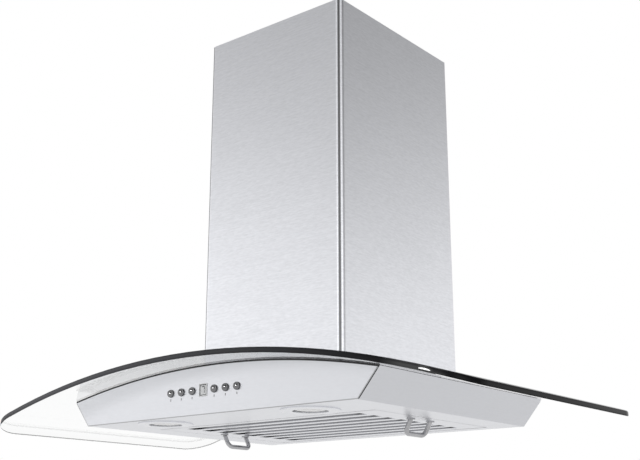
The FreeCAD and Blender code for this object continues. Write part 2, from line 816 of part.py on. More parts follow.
def motor():
    """Round motor with a domed end and a flange on the side of the scroll."""
    flange = rod(motor_flange, motor_flange_height, scroll_half, 0, 0, V(1, 0, 0))
    body = rod(motor_diameter, motor_flange_height + motor_length, scroll_half, 0, 0, V(1, 0, 0))
    far = [e for e in body.Edges if e.BoundBox.XMin > scroll_half + motor_length / 2 and e.Closed]
    bore_length = motor_flange_height + motor_length / 2 + shaft_clearance
    bore = rod(shaft_diameter + 2 * shaft_clearance, bore_length, scroll_half, 0, 0, V(1, 0, 0))
    shape = flange.fuse(body.makeFillet(motor_dome, far)).cut(bore)
    shape.translate(V(0, impeller_y, impeller_z))
    return shape.cut(motor_screw_bores())


def motor_screw_places():
    """Y and Z of the motor screws on their circle."""
    radius = (motor_flange + motor_hole) / 4
    turns = [2 * math.pi * (i + 1 / 2) / motor_screw_count for i in range(motor_screw_count)]
    return [(impeller_y + radius * math.cos(t), impeller_z + radius * math.sin(t)) for t in turns]


def motor_screw_bores():
    """Bores for the motor screws through its flange and the scroll."""
    depth = motor_flange_height + scroll_wall + 2 * overrun
    x = scroll_half - scroll_wall - overrun
    hole = motor_screw + 2 * seat_clearance
    return [rod(hole, depth, x, y, z, V(1, 0, 0)) for y, z in motor_screw_places()]


def motor_screws():
    """Screws that hold the motor to the scroll."""
    screws = []
    for y, z in motor_screw_places():
        seat = scroll_half + motor_flange_height
        length = motor_flange_height + scroll_wall
        shank = rod(motor_screw, length, seat - length, y, z, V(1, 0, 0))
        screws.append(shank.fuse(rod(motor_screw_head, motor_screw_head_height, seat, y, z, V(1, 0, 0))))
    return Part.makeCompound(screws)


def motor_capacitor():
    """Run capacitor on the left wall of the blower box."""
    x = -box_inner_half + capacitor_diameter / 2
    y = -box_depth / 2 - capacitor_length / 2
    return rod(capacitor_diameter, capacitor_length, x, y, box_top - capacitor_drop, V(0, 1, 0))


def wiring_box():
    """Box for the wiring on the right wall of the blower box."""
    lid = box_inner_half - wiring_box_depth
    y = -box_depth + wiring_box_front_gap
    top = box_top - wiring_box_drop
    shape = block(lid, box_inner_half, y, y + wiring_box_length, top - wiring_box_height, top)
    lid_edges = [e for e in shape.Edges if e.BoundBox.XMax < lid + wiring_box_depth / 2]
    return shape.makeFillet(wiring_box_round, lid_edges)


# Duct collar
def duct_collar():
    """Round collar with a foot flange, a ledge under the flaps and bores for their rods."""
    outer = upright(collar_diameter, collar_height, 0, collar_y, box_top)
    foot = upright(collar_flange, sheet, 0, collar_y, box_top)
    bore = upright(2 * collar_inner, collar_height + 2 * overrun, 0, collar_y, box_top - overrun)
    ledge_top = flap_z - flap_thickness / 2 - flap_rest_gap
    ledge = upright(2 * collar_inner, flap_ledge_height, 0, collar_y, ledge_top - flap_ledge_height)
    ledge = ledge.cut(upright(2 * (collar_inner - flap_ledge), flap_ledge_height, 0, collar_y,
                              ledge_top - flap_ledge_height))
    gap = flap_rod_spread / 2 + flap_rod
    ledge = ledge.cut(block(-collar_diameter, collar_diameter, collar_y - gap, collar_y + gap,
                            box_top, box_top + collar_height))
    shape = outer.fuse(foot).cut(bore).fuse(ledge)
    hole = flap_rod + 2 * flap_rod_clearance
    holes = [rod(hole, 2 * collar_diameter, -collar_diameter, y, flap_z, V(1, 0, 0)) for y in flap_rods()]
    return shape.cut(holes).removeSplitter()


def flap_rods():
    """Y of the front and rear flap rods."""
    return collar_y - flap_rod_spread / 2, collar_y + flap_rod_spread / 2


def damper_flap(y, side):
    """Half disc on a rod that runs through both walls of the collar."""
    radius = collar_inner - flap_edge_gap
    disc = upright(2 * radius, flap_thickness, 0, collar_y, flap_z - flap_thickness / 2)
    keep = block(-radius, radius, min(y, y + side * radius), max(y, y + side * radius),
                 flap_z - flap_rod, flap_z + flap_rod)
    length = collar_diameter - sheet
    return disc.common(keep).fuse(rod(flap_rod, length, -length / 2, y, flap_z, V(1, 0, 0)))


def cable_gland():
    """Gland in the top of the blower box, with a collar above the sheet."""
    x, y = gland_place()
    neck = upright(gland_diameter, gland_height, x, y, box_ceiling - gland_height / 2)
    nut = upright(gland_nut, gland_nut_height, x, y, box_top)
    bore = upright(gland_bore, 2 * gland_height, x, y, box_ceiling - gland_height)
    return neck.fuse(nut).cut(bore)


# Chimney covers
def front_bends(shape, rear):
    """Upright edges of a block, apart from those at the rear."""
    return [e for e in shape.Edges if e.BoundBox.YMax < rear - cover_bend and e.BoundBox.ZLength > cover_bend]


def cover_channel(half, depth, rear, z0, z1):
    """Sheet bent round the front and sides, with narrow returns along the wall."""
    outer = block(-half, half, -depth, rear, z0, z1)
    outer = outer.makeFillet(cover_bend, front_bends(outer, rear))
    inner = block(cover_sheet - half, half - cover_sheet, cover_sheet - depth, rear - cover_sheet,
                  z0 - overrun, z1 + overrun)
    inner = inner.makeFillet(cover_bend - cover_sheet, front_bends(inner, rear))
    back = block(cover_return - half, half - cover_return, rear - 2 * cover_sheet, rear + overrun,
                 z0 - overrun, z1 + overrun)
    return outer.cut([inner, back])


def lower_chimney_cover():
    """Outer cover, with its foot cut to the arch of the glass."""
    return cover_channel(cover_half, cover_depth, 0, 0, cover_top).cut(below_arch(glass_top + cover_seat_gap))


def upper_chimney_cover():
    """Inner cover, which slides up out of the outer one."""
    return cover_channel(upper_half, upper_depth, -cover_sheet - cover_slide_gap, upper_bottom, upper_top)


def cover_brackets():
    """Angles on the sides of the blower box that the upper cover rests on."""
    brackets = []
    reach = upper_half + cover_slide_gap / 2
    for side in sides.values():
        y0 = -(box_depth + bracket_length) / 2
        angle = block(box_half, reach, y0, y0 + bracket_length, upper_bottom - bracket_leg, upper_bottom)
        inside = block(box_half + bracket_sheet, reach + overrun, y0 - overrun, y0 + bracket_length + overrun,
                       upper_bottom - bracket_leg - overrun, upper_bottom - bracket_sheet)
        angle = angle.cut(inside)
        brackets.append(angle if side > 0 else angle.mirror(V(0, 0, 0), V(1, 0, 0)))
    return Part.makeCompound(brackets)


def all_parts():
    """Every node's name and shape."""
    parts = {"glass_canopy": glass_canopy(), "glass_gasket": glass_gasket(), "front_panel": front_panel(),
             "back_panel": back_panel(), "top_sheet": top_sheet(), "bottom_pan": bottom_pan(),
             "filter_tray": filter_tray(), "filter_baffles": filter_baffles(),
             "filter_hinge_pins": filter_hinge_pins(), "filter_catches": filter_catches(),
             "display_bezel": display_bezel(), "display_window": display_window(),
             "display_module": display_module(), "control_housing": control_housing(),
             "control_board": control_board(), "control_switches": control_switches(),
             "blower_box": blower_box(), "box_pad": box_pad(), "glass_spacers": glass_spacers(),
             "clamp_screws": clamp_screws(), "blower_scroll": blower_scroll(),
             "discharge_duct": discharge_duct(), "impeller": impeller(), "motor_shaft": motor_shaft(),
             "motor": motor(), "motor_screws": motor_screws(), "motor_capacitor": motor_capacitor(),
             "wiring_box": wiring_box(), "duct_collar": duct_collar(), "cable_gland": cable_gland(),
             "lower_chimney_cover": lower_chimney_cover(), "upper_chimney_cover": upper_chimney_cover(),
             "cover_brackets": cover_brackets()}
    for name, side in sides.items():
        parts[name + "_side_panel"] = side_panel(side)
        parts[name + "_lamp_bezel"] = lamp_bezel_ring(side)
        parts[name + "_lamp_lens"] = lamp_lens(side)
        parts[name + "_lamp_housing"] = lamp_housing(side)
        parts[name + "_filter_handle"] = filter_handle(side)
    for name, y, side in zip(("front", "rear"), flap_rods(), (-1, 1)):
        parts[name + "_damper_flap"] = damper_flap(y, side)
    for number, x in enumerate(button_places(), 1):
        parts["button_" + str(number)] = push_button(x)
    return parts


os.makedirs("parts", exist_ok=True)
for node, shape in all_parts().items():
    shape.exportStep("parts/" + node + ".step")
    print(node, "solids", len(shape.Solids), "valid", shape.isValid(), "volume", round(shape.Volume))
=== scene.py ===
# %% [markdown]
# # A wall mount range hood with an arched glass canopy
# This lesson dresses a hood that already exists as separate solids at their real size.
# Every piece arrives in one shared frame in metres: +X is right seen from the front, the front faces -Y,
# the wall is the plane y = 0, and z = 0 is the underside of the steel body.
# Nothing of that frame is moved here. The lesson gives each surface its finish, builds the few pieces
# whose look needs a finer mesh, and lights them as a product photographer would.

# %% Load the frame
import math

import bmesh
import bpy
from mathutils import Matrix, Vector


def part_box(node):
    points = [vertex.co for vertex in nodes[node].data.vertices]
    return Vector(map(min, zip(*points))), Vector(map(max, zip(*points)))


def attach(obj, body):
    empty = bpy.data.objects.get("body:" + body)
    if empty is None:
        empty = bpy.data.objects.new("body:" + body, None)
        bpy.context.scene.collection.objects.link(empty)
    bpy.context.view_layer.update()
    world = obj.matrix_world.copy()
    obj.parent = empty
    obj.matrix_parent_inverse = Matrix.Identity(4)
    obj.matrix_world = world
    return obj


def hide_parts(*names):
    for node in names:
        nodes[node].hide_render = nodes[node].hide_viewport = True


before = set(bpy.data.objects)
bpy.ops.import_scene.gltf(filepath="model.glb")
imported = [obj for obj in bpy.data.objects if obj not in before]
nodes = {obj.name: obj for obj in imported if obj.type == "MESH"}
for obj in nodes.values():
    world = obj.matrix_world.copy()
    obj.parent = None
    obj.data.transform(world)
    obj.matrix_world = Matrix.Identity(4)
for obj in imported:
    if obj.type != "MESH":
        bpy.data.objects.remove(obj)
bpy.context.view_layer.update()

scene = bpy.context.scene
scene.view_settings.view_transform = "Standard"

# %% [markdown]
# ## The camera
# The hood is looked at from the right and from below, as a cook of average height sees it.
# A camera can be aimed with a constraint, or by a direction that is worked out from two angles.
# Two angles are easier to read and leave nothing behind in the scene, so they are used here.

# %% Place the camera
camera_place = Vector((1.0677, -1.498, -0.1723))
camera_turn = math.radians(39.03)
camera_rise = math.radians(16.4)
camera_lens = 59.6

camera_data = bpy.data.cameras.new("photo_camera")
camera_data.lens = camera_lens
camera = bpy.data.objects.new("photo_camera", camera_data)
scene.collection.objects.link(camera)
aim = Vector((-math.sin(camera_turn) * math.cos(camera_rise),
              math.cos(camera_turn) * math.cos(camera_rise), math.sin(camera_rise)))
camera.location = camera_place
camera.rotation_euler = aim.to_track_quat("-Z", "Y").to_euler()
scene.camera = camera
print("the camera stands at", tuple(camera_place), "and looks along", tuple(round(a, 3) for a in aim))

# %% [markdown]
# ## Writing finishes as formulas
# A finish is a small network of nodes. Placing and linking nodes one by one hides the idea behind them,
# so one class wraps a socket: adding or multiplying two wires adds the Math node for it,
# and one method adds any other node from its type, its settings and the values of its sockets.

# %% A wire of a node tree
class Wire:
    """An output socket of a node tree, or the bare tree to start from."""

    def __init__(self, tree, socket=None):
        self.tree = tree
        self.socket = socket

    def node(self, kind, settings, sockets, output=0):
        """Add a node: its settings first, then a value or a wire for each socket."""
        made = self.tree.nodes.new("ShaderNode" + kind)
        for name, value in settings.items():
            if name == "stops":
                set_stops(made.color_ramp, value)
            else:
                setattr(made, name, value)
        for name, value in sockets.items():
            if isinstance(value, Wire):
                self.tree.links.new(value.socket, made.inputs[name])
            else:
                made.inputs[name].default_value = value
        return Wire(self.tree, made.outputs[output] if made.outputs else None)

    def out(self, name):
        """Another output of the node that this wire comes from."""
        return Wire(self.tree, self.socket.node.outputs[name])

    def math(self, operation, first, second):
        """Add a Math node with two inputs."""
        return self.node("Math", {"operation": operation}, {0: first, 1: second})

    def __abs__(self):
        return self.node("Math", {"operation": "ABSOLUTE"}, {0: self})

    def __add__(self, other):
        return self.math("ADD", self, other)

    def __radd__(self, other):
        return self.math("ADD", other, self)

    def __sub__(self, other):
        return self.math("SUBTRACT", self, other)

    def __rsub__(self, other):
        return self.math("SUBTRACT", other, self)

    def __mul__(self, other):
        return self.math("MULTIPLY", self, other)

    def __rmul__(self, other):
        return self.math("MULTIPLY", other, self)

    def __pow__(self, other):
        return self.math("POWER", self, other)


def set_stops(ramp, stops):
    """Give a colour ramp its stops, each a place and a grey level."""
    while len(ramp.elements) < len(stops):
        ramp.elements.new(1)
    for element, (place, level) in zip(ramp.elements, stops):
        element.position = place
        element.color = (level, level, level, 1)


print("wires are ready")

# %% [markdown]
# Every finish starts from an empty material, reads the place on its piece and ends in a shader.
# The place could come from a UV map, but the solids have none. Object coordinates need no map,
# and they stay with a piece when it moves. Noise lies round one half and seldom comes near zero or one,
# so the two ranges that the finishes stretch to the full span have names.

# %% Small helpers that every finish uses
usual_noise = (0.35, 0.65)
wide_noise = (0.3, 0.7)


def start_finish(name):
    """An empty material and the wire to build it from."""
    material = bpy.data.materials.new(name)
    material.use_nodes = True
    material.node_tree.nodes.clear()
    return material, Wire(material.node_tree)


def surface(material, shader):
    """Close a material with its shader."""
    shader.node("OutputMaterial", {}, {"Surface": shader})
    return material


def object_place(wire):
    """Position on the piece, in metres."""
    return wire.node("TexCoord", {}, {}, "Object")


def object_axes(wire):
    """Position on the piece along x, y and z, in metres."""
    x = wire.node("SeparateXYZ", {}, {"Vector": object_place(wire)})
    return x, x.out("Y"), x.out("Z")


def even(scale):
    """The same scale along all three axes."""
    return (scale, scale, scale)


def noise(wire, scales, detail):
    """Noise stretched by a scale per axis, in cycles per metre; its values lie round one half."""
    stretched = wire.node("Mapping", {}, {"Vector": object_place(wire), "Scale": scales})
    return wire.node("TexNoise", {}, {"Vector": stretched, "Scale": 1, "Detail": detail})


def span(wire, low, high, start=0, end=1):
    """Share of the way from low to high, clamped, and spread from start to end."""
    sockets = {"Value": wire, "From Min": low, "From Max": high, "To Min": start, "To Max": end}
    return wire.node("MapRange", {"clamp": True}, sockets)


def tint(share, first, second):
    """Colour between two colours, each a wire or three numbers."""
    ends = [end if isinstance(end, Wire) else (*end, 1) for end in (first, second)]
    return share.node("Mix", {"data_type": "RGBA"}, {0: share, 6: ends[0], 7: ends[1]}, 2)


def dents(height, strength, depth):
    """Normals that are bent as if a height dented the surface."""
    return height.node("Bump", {}, {"Height": height, "Strength": strength, "Distance": depth})


def dress(material, *names):
    """Give a material to pieces of the frame."""
    for name in names:
        slots = nodes[name].data.materials
        slots.clear()
        slots.append(material)
    print(material.name, "on", len(names), "pieces")


print("helpers are ready")

# %% [markdown]
# ## Brushed stainless steel
# The body and the chimney are sheet steel, brushed in one direction with an abrasive belt.
# From a step away the brushing shows as short, soft streaks along the belt, and close up as fine scratches.
# A picture of scratches would repeat, so the streaks are noise that is stretched along the belt, in three
# layers: a coarse one that is seen from afar, a grain that also bends the light, and fine scratches.
# On upright sheets the streaks run level. On the underside they run from side to side.

# %% Brushed steel
coarse_streak = (5, 520)
grain_streak = (110, 480)
fine_streak = (14, 2600)
cloud_scale = 5
coarse_weight, grain_weight, fine_weight, cloud_weight = 0.15, 0.45, 0.3, 0.1
scratch_height = 0.1
brush_depth = 0.0001
steel_gloss_spread = 0.03
fine_rearwards, fine_upwards = 1, 2


def along_belt(scales, fine_axis):
    """Scales for noise that is fine along one axis and long along the others."""
    return tuple(scales[1] if axis == fine_axis else scales[0] for axis in range(3))


def brushed_steel(name, fine_axis, greys, roughness, relief, mask=None, masked=None):
    """Steel whose streaks are fine along one axis and long along the others, darker where a mask says so."""
    material, wire = start_finish(name)
    coarse = noise(wire, along_belt(coarse_streak, fine_axis), 3)
    grain = noise(wire, along_belt(grain_streak, fine_axis), 2)
    fine = noise(wire, along_belt(fine_streak, fine_axis), 2)
    cloud = noise(wire, even(cloud_scale), 2)
    streaks = coarse * coarse_weight + grain * grain_weight + fine * fine_weight + cloud * cloud_weight
    colour = tint(span(streaks, *usual_noise), *greys)
    if mask:
        colour = tint(mask(wire), colour, masked)
    dullest, glossiest = roughness + steel_gloss_spread, roughness - steel_gloss_spread
    steel = wire.node("BsdfPrincipled", {}, {
        "Base Color": colour, "Metallic": 1,
        "Normal": dents(grain + fine * scratch_height, relief, brush_depth),
        "Roughness": span(streaks, *wide_noise, dullest, glossiest)})
    return surface(material, steel)


sheet_roughness = 0.31
sheet_relief = 0.06
# The underside is the same steel as the panels, but its greys are lighter: painted light, for the light that
# reaches the underside. The filter tray and the lamp rings share them.
pan_greys_lit = ((0.731, 0.739, 0.772), (0.791, 0.8, 0.835))
panel_greys = ((0.614, 0.6215, 0.648), (0.631, 0.6385, 0.666))
panel_steel = brushed_steel("brushed_panel_steel", fine_upwards, panel_greys, sheet_roughness, sheet_relief)
pan_steel = brushed_steel("brushed_pan_steel", fine_rearwards, pan_greys_lit, sheet_roughness, sheet_relief)
dress(panel_steel, "left_side_panel", "right_side_panel")
dress(pan_steel, "bottom_pan", "filter_catches")

# %% [markdown]
# The chimney's covers are bent on a press. Along the middle of each front bend a dark line is painted into
# the steel's colour: painted shade, for the dark side of the room that the bend mirrors. A groove would be
# wrong, because the bend is smooth to the touch, so the line is drawn by the angle round the bend's axis,
# which is a formula of the position.

# %% Bends of the chimney
cover_low, cover_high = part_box("lower_chimney_cover")
bend_radius = 0.01
bend_start = math.radians(22)
bend_end = math.radians(47)
bend_softness = math.radians(5)
# Grey of the painted shade along the middle of the bends.
painted_bend_shade_grey = (0.3, 0.303, 0.312)
chimney_greys = ((0.658, 0.666, 0.695), (0.77, 0.778, 0.812))
chimney_relief = 0.8


def bend_line(wire):
    """Painted shade: one along the middle of the two front bends, and zero elsewhere."""
    x, y, _ = object_axes(wire)
    outwards = abs(x) - (cover_high.x - bend_radius)
    forwards = (cover_low.y + bend_radius) - y
    angle = wire.math("ARCTAN2", outwards, forwards)
    begun = span(angle, bend_start, bend_start + bend_softness)
    return begun * span(angle, bend_end, bend_end - bend_softness)


chimney_steel = brushed_steel("brushed_chimney_steel", fine_upwards, chimney_greys, sheet_roughness,
                              chimney_relief, bend_line, painted_bend_shade_grey)
dress(chimney_steel, "lower_chimney_cover", "upper_chimney_cover")

# %% [markdown]
# The front panel is folded in along its foot and its sides. Such a fold is too small to model as a bend that
# anyone would see, so the shade along it is painted into the steel's colour as a thin grey line.

# %% Folded edges of the front panel
front_greys = ((0.617, 0.625, 0.652), (0.634, 0.642, 0.67))
# Grey of the painted shade along the folds.
painted_fold_shade_grey = (0.33, 0.333, 0.34)
fold_width = 0.0016
panel_foot_half = 0.2625
panel_lean = math.tan(math.radians(40.3))


def folded_edge(wire):
    """Painted shade: one along the foot and the sloping sides of the front panel, and zero elsewhere."""
    x, _, height = object_axes(wire)
    to_side = panel_foot_half + height * panel_lean - abs(x)
    foot = span(height, fold_width, fold_width / 2)
    return wire.math("MAXIMUM", foot, span(to_side, fold_width, fold_width / 2))


front_steel = brushed_steel("brushed_front_steel", fine_upwards, front_greys, sheet_roughness,
                            sheet_relief, folded_edge, painted_fold_shade_grey)
dress(front_steel, "front_panel")

# %% [markdown]
# The louvres of the filter lead up into the tray. Less light reaches them the deeper they go, so shade is
# painted into the tray's steel, darker with height. Painted shade also makes the baffles above a darker grey
# than the tray and black at their ends, and the rolled front rim of the tray a little darker.

# %% Filter tray and baffles
# Grey of the painted shade high in the louvres.
painted_louvre_shade_grey = (0.26, 0.262, 0.268)
louvre_low = 0.0002
louvre_high = 0.0035
tray_rim_shade_share = 0.3
rim_reach = 0.008
rim_softness = 0.0008
tray_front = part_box("filter_tray")[0].y
# Baffle greys darker than the tray's: painted shade.
shaded_baffle_greys = ((0.537, 0.543, 0.567), (0.616, 0.623, 0.65))
baffle_roughness = 0.34
# Black of the painted shade at the baffles' ends.
painted_end_shade_black = (0.012, 0.012, 0.012)
end_shade_start = 0.145
end_shade_full = 0.158
end_shade_top = 0.007


def tray_shade(wire):
    """Painted shade: zero on the flat face of the tray, some on its front rim, and one at the top of the
    louvres.
    """
    _, y, height = object_axes(wire)
    rim_end = tray_front + rim_reach
    rim = tray_rim_shade_share * span(y, rim_end, rim_end - rim_softness)
    return wire.math("MAXIMUM", rim, span(height, louvre_low, louvre_high))


def greasy_ends(wire):
    """Painted shade: one low down at both ends of the baffles, and zero elsewhere."""
    x, _, height = object_axes(wire)
    return span(abs(x), end_shade_start, end_shade_full) * span(height, end_shade_top, end_shade_top / 2)


tray_steel = brushed_steel("brushed_tray_steel", fine_rearwards, pan_greys_lit, sheet_roughness,
                           sheet_relief, tray_shade, painted_louvre_shade_grey)
baffle_steel = brushed_steel("brushed_baffle_steel", fine_rearwards, shaded_baffle_greys, baffle_roughness,
                             sheet_relief, greasy_ends, painted_end_shade_black)
dress(tray_steel, "filter_tray")
dress(baffle_steel, "filter_baffles")

# %% [markdown]
# ## Polished metal
# The filter handles, the pins and the buttons are polished or plated. A polished surface is never
# quite even: fine wiping marks spread its reflections a little, and more in some places than in others.
# A low roughness that noise varies gives that, where one number would look like liquid metal.

# %% Polished metal
wiping_scales = (260, 260, 900)
smear_scale = 40
wiped_roughness = 0.08
button_names = ["button_" + str(number) for number in range(1, 7)]


def polished_metal(name, dark, light, roughness):
    """Bright metal with faint wiping marks."""
    material, wire = start_finish(name)
    marks = noise(wire, wiping_scales, 3)
    smear = noise(wire, even(smear_scale), 2)
    wear = span((marks + smear) * 0.5, *usual_noise)
    metal = wire.node("BsdfPrincipled", {}, {
        "Base Color": tint(wear, light, dark), "Metallic": 1,
        "Roughness": roughness + wiped_roughness * wear})
    return surface(material, metal)


# The handles and the buttons get base colours darker than polished steel and chrome: painted shade, for the
# dark room that they mirror.
handle_steel_painted_dark = polished_metal("polished_handle_steel", dark=(0.34, 0.34, 0.35), light=(0.46, 0.46, 0.47),
                              roughness=0.06)
button_chrome_painted_dark = polished_metal("button_chrome_painted_dark", dark=(0.17, 0.17, 0.175), light=(0.25, 0.25, 0.255),
                               roughness=0.04)
dress(handle_steel_painted_dark, "left_filter_handle", "right_filter_handle", "filter_hinge_pins", "clamp_screws",
      "motor_screws", "motor_shaft")
dress(button_chrome_painted_dark, *button_names)

# %% [markdown]
# ## Galvanised sheet
# Sheet that stays hidden inside is zinc coated instead of polished. Zinc sets in flat crystals,
# each with its own shade, which is called spangle. A Voronoi texture cuts a surface into just such cells.

# %% Galvanised sheet
spangle_size = 0.009
spangle_weight, film_weight = 0.7, 0.3
film_scale = 30
zinc_metallic = 0.85
zinc_roughness = (0.36, 0.52)


def galvanised_sheet(name, dark, light):
    """Zinc coated sheet with spangle."""
    material, wire = start_finish(name)
    cells = wire.node("TexVoronoi", {}, {"Vector": object_place(wire), "Scale": 1 / spangle_size}, "Color")
    shade = wire.node("SeparateColor", {}, {"Color": cells})
    film = noise(wire, even(film_scale), 3)
    share = shade * spangle_weight + film * film_weight
    zinc = wire.node("BsdfPrincipled", {}, {
        "Base Color": tint(share, dark, light), "Metallic": zinc_metallic,
        "Roughness": span(share, 0, 1, *zinc_roughness)})
    return surface(material, zinc)


zinc_sheet = galvanised_sheet("galvanised_sheet", dark=(0.5, 0.52, 0.54), light=(0.7, 0.72, 0.74))
dress(zinc_sheet, "back_panel", "top_sheet", "blower_box", "duct_collar", "front_damper_flap",
      "rear_damper_flap", "cover_brackets", "left_lamp_housing", "right_lamp_housing")

# %% [markdown]
# ## Rubber, plastic and paint
# These are the quiet finishes: a base colour that is never the same all over, and a grain in the surface.
# Black rubber shows a dusty bloom, moulded plastic a spark-eroded grain, and motor paint an orange peel.
# One function with a grain size, a grain depth and two close colours serves them all.

# %% Rubber, plastic and paint
bloom_scale = 45
grain_share, bloom_share = 0.4, 0.6
grain_strength = 0.3
dull_gloss_spread = 0.06


def grained(name, dark, light, roughness, grain_size, grain_depth):
    """Dull surface with a grain that dents it."""
    material, wire = start_finish(name)
    grain = noise(wire, even(1 / grain_size), 2)
    bloom = noise(wire, even(bloom_scale), 3)
    share = span(grain * grain_share + bloom * bloom_share, *usual_noise)
    shell = wire.node("BsdfPrincipled", {}, {
        "Base Color": tint(share, dark, light), "Normal": dents(grain, grain_strength, grain_depth),
        "Roughness": span(share, 0, 1, roughness - dull_gloss_spread, roughness + dull_gloss_spread)})
    return surface(material, shell)


seal_rubber = grained("black_seal_rubber", dark=(0.012, 0.012, 0.013), light=(0.03, 0.03, 0.032),
                      roughness=0.62, grain_size=0.0012, grain_depth=0.0002)
grey_plastic = grained("grey_moulded_plastic", dark=(0.68, 0.68, 0.66), light=(0.76, 0.76, 0.74),
                       roughness=0.5, grain_size=0.0009, grain_depth=0.0001)
black_plastic = grained("black_moulded_plastic", dark=(0.08, 0.08, 0.084), light=(0.13, 0.13, 0.136),
                        roughness=0.42, grain_size=0.0009, grain_depth=0.0001)
bezel_plastic = grained("pale_bezel_plastic", dark=(0.8, 0.805, 0.81), light=(0.86, 0.865, 0.87),
                        roughness=0.4, grain_size=0.0009, grain_depth=0.0001)
motor_paint = grained("motor_paint", dark=(0.25, 0.26, 0.28), light=(0.33, 0.34, 0.36),
                      roughness=0.4, grain_size=0.003, grain_depth=0.0002)
dress(seal_rubber, "glass_gasket", "box_pad", "glass_spacers")
dress(grey_plastic, "blower_scroll", "discharge_duct", "impeller", "motor_capacitor")
dress(black_plastic, "control_housing", "wiring_box", "display_module", "control_switches", "cable_gland")
dress(bezel_plastic, "display_bezel")
dress(motor_paint, "motor")

# %% [markdown]
# ## The circuit board
# The board is glass cloth in resin under a green mask. Copper tracks show through the mask as
# slightly lighter lines. Drawing each track would be long work for a piece that is hidden.
# A wave texture gives level lines, and noise cuts them into short runs, which looks like tracks.

# %% Circuit board
track_scale = 120
track_edge = (0.72, 0.8)
run_scales = (90, 90, 30)
run_edge = (0.5, 0.54)
mask_green = (0.015, 0.1, 0.045)
track_green = (0.05, 0.2, 0.08)
mask_roughness = 0.42
track_gloss = 0.12


def circuit_board(name):
    """Green board with faint tracks under its mask."""
    material, wire = start_finish(name)
    lines = wire.node("TexWave", {"bands_direction": "Z"},
                      {"Vector": object_place(wire), "Scale": track_scale})
    tracks = span(lines, *track_edge) * span(noise(wire, run_scales, 1), *run_edge)
    board = wire.node("BsdfPrincipled", {}, {
        "Base Color": tint(tracks, mask_green, track_green),
        "Roughness": mask_roughness - track_gloss * tracks})
    return surface(material, board)


dress(circuit_board("green_circuit_board"), "control_board")

# %% [markdown]
# ## The glass canopy
# The canopy is one arched pane with a polished pencil edge, which means that the rim is ground round.
# The solid has square edges, so the piece is a copy of its mesh: its loose triangles are merged,
# the outer rim is rounded with the bevel operator, and the rim gets a finish of its own.
# Looking into the rim of clear glass, the eye sees a long way through it, so it looks almost black.

# %% Bevel a copy of the pane
rim_round = 0.0026
rim_segments = 4
merge_distance = 0.00001
sharp_angle = math.radians(50)
upright_share = 0.9
hole_zone_half = 0.2
hole_zone_front = -0.3
rear_zone = -0.01


def copy_of(name):
    """A bmesh with the merged mesh of a frame piece."""
    shape = bmesh.new()
    shape.from_mesh(nodes[name].data)
    bmesh.ops.remove_doubles(shape, verts=shape.verts, dist=merge_distance)
    return shape


def on_outer_rim(vertex):
    """True outside the zone of the screw holes and the notch, or along the wall."""
    place = vertex.co
    return abs(place.x) > hole_zone_half or place.y < hole_zone_front or place.y > rear_zone


def rim_edges(shape):
    """Sharp edges between the pane and its outer rim, without the short upright ones."""
    found = []
    for edge in shape.edges:
        rise = abs(edge.verts[0].co.z - edge.verts[1].co.z)
        sharp = len(edge.link_faces) == 2 and edge.calc_face_angle() > sharp_angle
        lies = rise < edge.calc_length() * upright_share
        if sharp and lies and all(on_outer_rim(v) for v in edge.verts):
            found.append(edge)
    return found


pane_shape = copy_of("glass_canopy")
rounded = rim_edges(pane_shape)
bmesh.ops.bevel(pane_shape, geom=rounded, offset=rim_round, offset_type="OFFSET", affect="EDGES",
                segments=rim_segments, profile=0.5, material=-1, clamp_overlap=False)
print("canopy rim:", len(rounded), "edges rounded")

# %% [markdown]
# The pane and its rim need different finishes, and a face's own slope says which of them it belongs to.
# The rim's lower part gets a third finish, because through the pane it is seen as a line of its own.

# %% Finish numbers of the canopy's faces
pane_slope = 0.85
line_slope = 0.1


def pane_zone(slope):
    """Number of a face's finish, from the rise of its normal: 0 pane, 1 rim, 2 lower line of the rim."""
    if abs(slope) > pane_slope:
        return 0
    return 2 if slope < -line_slope else 1


def piece_from(shape, name):
    """Turn a bmesh into a piece of the scene."""
    mesh = bpy.data.meshes.new(name)
    shape.to_mesh(mesh)
    shape.free()
    piece = bpy.data.objects.new(name, mesh)
    scene.collection.objects.link(piece)
    return piece


for face in pane_shape.faces:
    face.smooth = True
    face.material_index = pane_zone(face.normal.z)
for edge in pane_shape.edges:
    kinds = {face.material_index for face in edge.link_faces}
    edge.smooth = len(kinds) == 1
canopy_pane = piece_from(pane_shape, "canopy_pane")
print("canopy pane:", len(canopy_pane.data.polygons), "faces")

# %% [markdown]
# The pane is part of a drum, but its mesh is a few long triangles, and a mirror shows every one of them.
# More triangles would cost time. Setting the normals is enough: on the pane they point straight away
# from the drum's axis, which three points of the arch give, and on the rim they stay as they are.

# %% Normals of the arch
end_zone = 0.03
pane_low, pane_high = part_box("glass_canopy")
pane_mesh = canopy_pane.data
top_half = (pane_high.x - pane_low.x) / 2
end_heights = [v.co.z for v in pane_mesh.vertices if abs(v.co.x) > top_half - end_zone]
arch_sag = pane_high.z - max(end_heights)
arch_axis_z = pane_high.z - (top_half ** 2 + arch_sag ** 2) / (2 * arch_sag)
bent = []
for face in pane_mesh.polygons:
    for corner in face.loop_indices:
        place = pane_mesh.vertices[pane_mesh.loops[corner].vertex_index].co
        away = Vector((place.x, 0, place.z - arch_axis_z)).normalized()
        own = pane_mesh.corner_normals[corner].vector
        bent.append(own.copy() if face.material_index else away * math.copysign(1, face.normal.z))
pane_mesh.normals_split_custom_set(bent)
print("arch radius", round(pane_high.z - arch_axis_z, 3), "m")

# %% [markdown]
# A pane of clear glass lets the view through and mirrors it at shallow angles. A full glass shader traces
# bent rays through both faces, which is slow and noisy for a thin sheet, so the pane mixes a clear
# Transparent shader with a mirror, and Layer Weight raises the mirror's share as the view grazes the pane.

